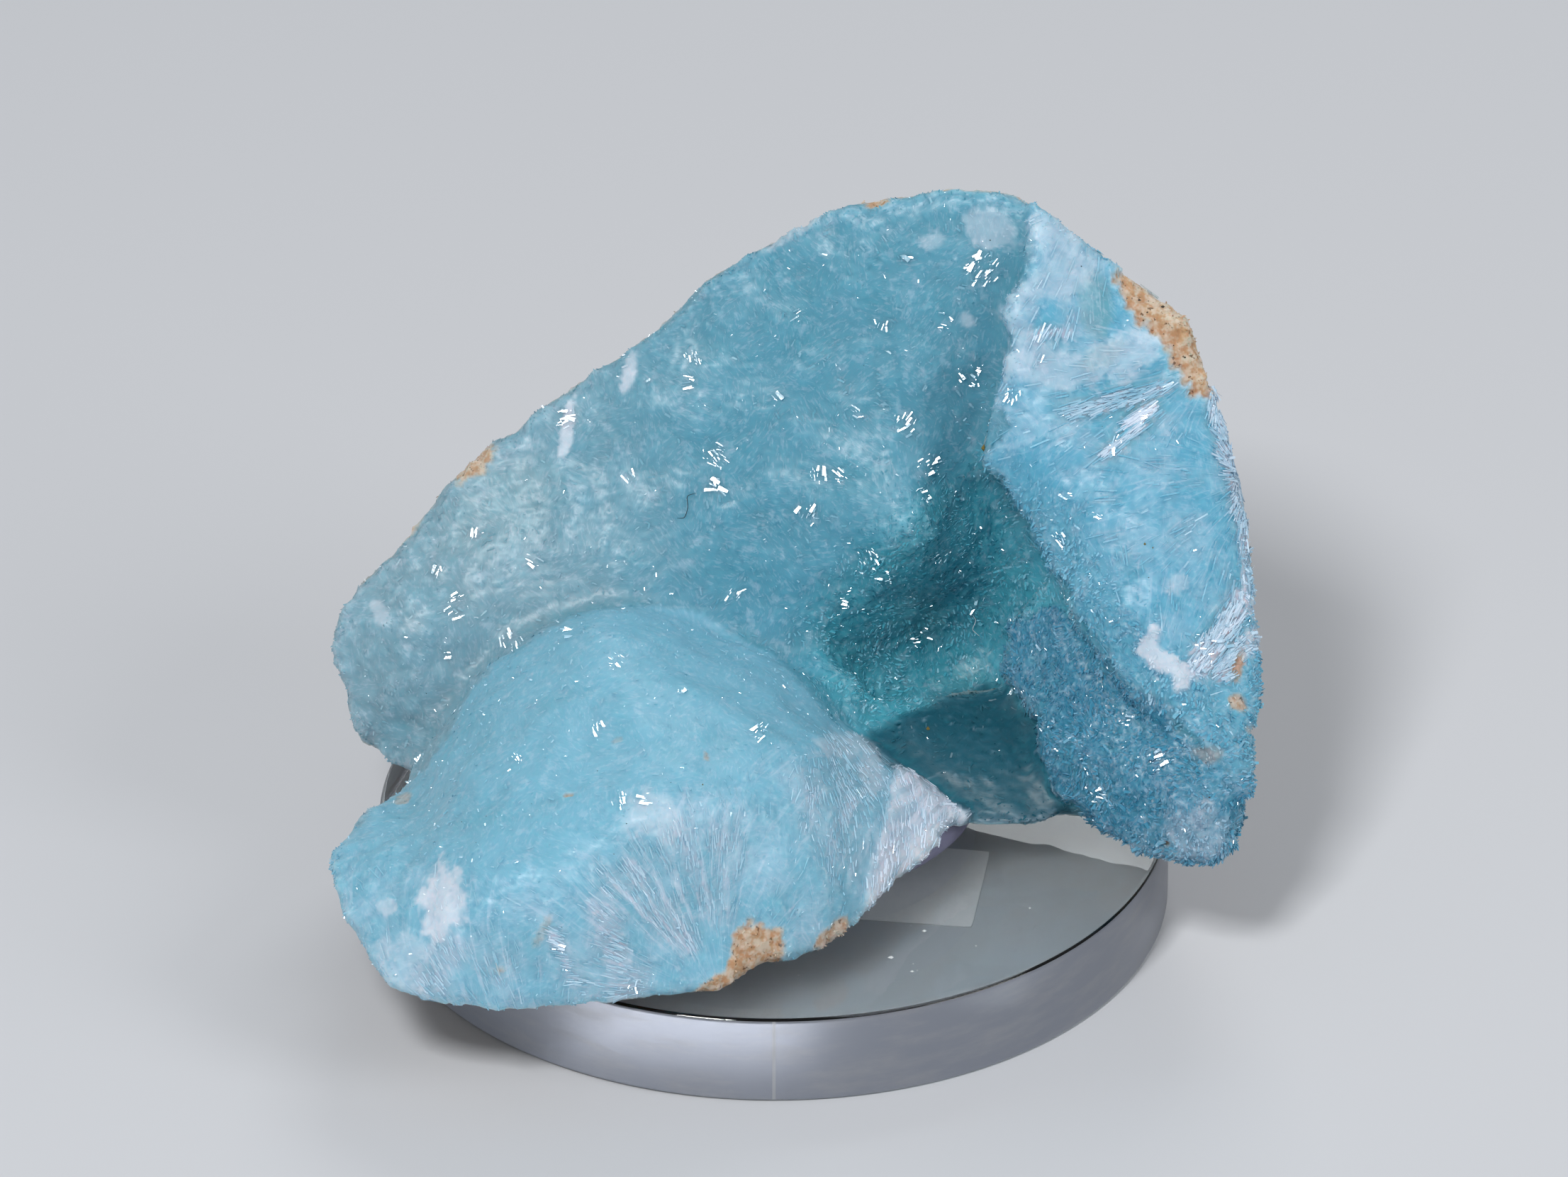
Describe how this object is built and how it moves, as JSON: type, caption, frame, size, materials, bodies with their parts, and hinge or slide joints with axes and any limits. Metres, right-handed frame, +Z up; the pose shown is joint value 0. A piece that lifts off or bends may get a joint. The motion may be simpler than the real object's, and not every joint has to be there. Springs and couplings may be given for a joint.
{
  "type": "hemimorphite specimen on a display disc",
  "caption": "Blue hemimorphite crust with a drusy hollow and broken fibrous edges, held by putty on a clear round display disc.",
  "frame": {"origin": "centre of the display disc's underside, where it rests", "axes": "+Z up, out of the disc's top face; the stone's open drusy side faces -Y; +X is to the viewer's right"},
  "size_m": [0.0582, 0.0505, 0.0435],
  "materials": {
    "hemimorphite": "translucent blue crystal druse, silky fibrous fractures and a rough tan rind",
    "putty": "smooth satin mounting putty",
    "acrylic": "clear cast acrylic, polished",
    "paper": "plain matt paper, blank"
  },
  "bodies": {
    "root": {"hemimorphite": "hemimorphite", "mounting_putty": "putty", "display_disc": "acrylic", "paper_label": "paper"}
  },
  "joints": []
}
